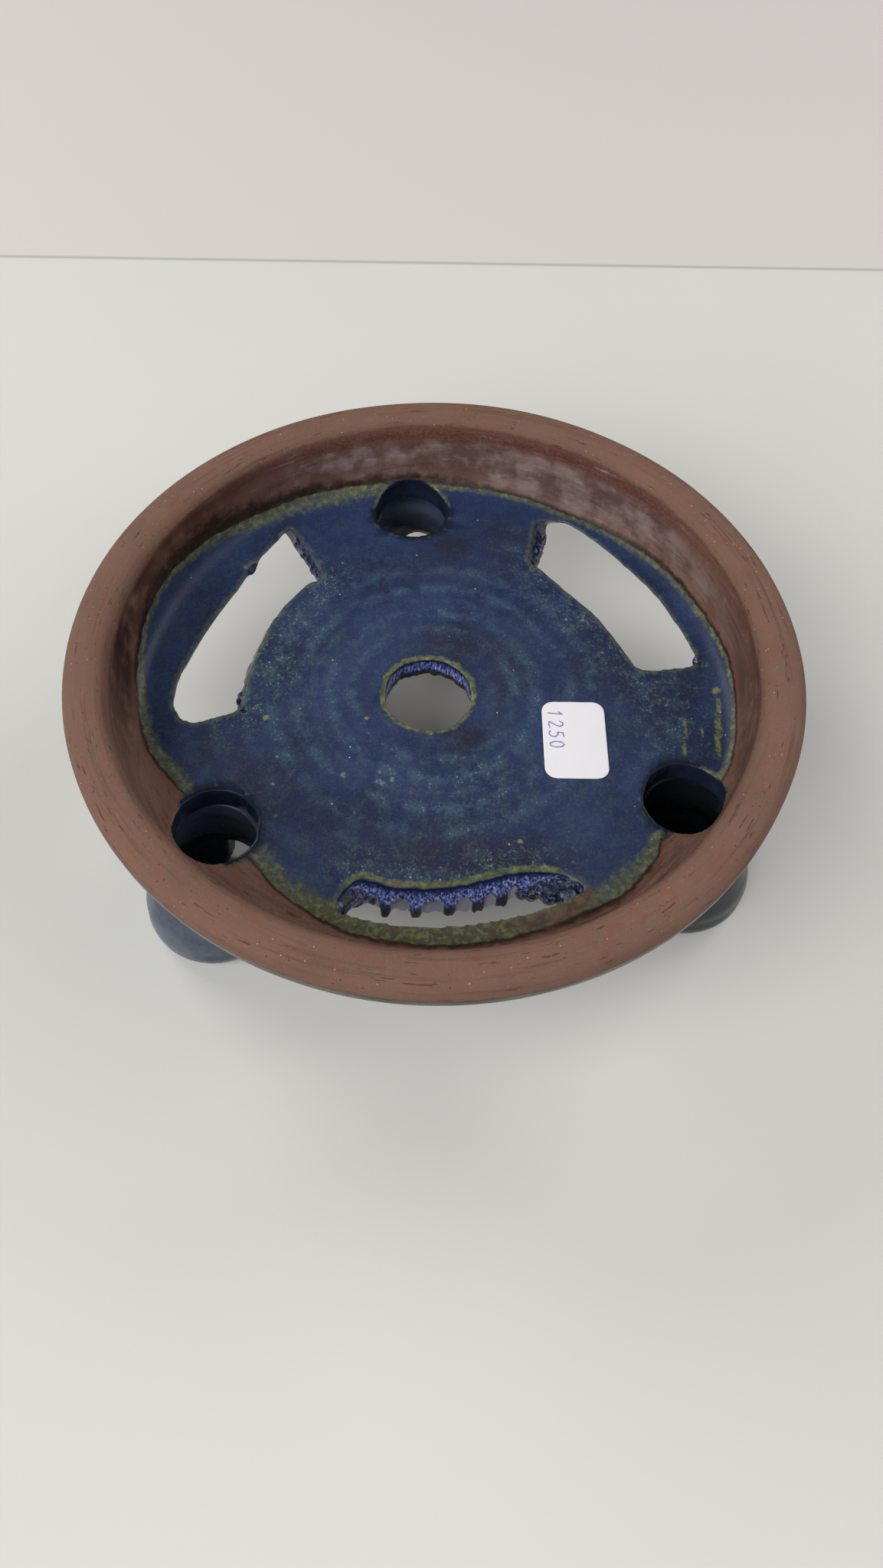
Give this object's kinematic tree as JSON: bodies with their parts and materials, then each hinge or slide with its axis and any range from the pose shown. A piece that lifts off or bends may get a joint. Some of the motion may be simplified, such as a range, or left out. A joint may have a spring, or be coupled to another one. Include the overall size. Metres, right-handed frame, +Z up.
{
  "type": "footed orchid pot",
  "caption": "Low round stoneware pot with a broad lip, slots and holes through its floor for drainage and air, and hollow bulb feet.",
  "frame": {"origin": "middle of the pot on the surface that its feet stand on", "axes": "+Z up out of the dish; -Y towards the viewer of the picture; one foot at the back, one front left and one front right"},
  "size_m": [0.16, 0.16, 0.0535],
  "materials": {
    "blue_glaze": "gloss",
    "dark_glaze": "gloss",
    "sticker_paper": "matte"
  },
  "bodies": {
    "root": {"bowl": "blue_glaze", "foot_back": "dark_glaze", "foot_left": "dark_glaze", "foot_right": "dark_glaze", "price_sticker": "sticker_paper"}
  },
  "joints": []
}
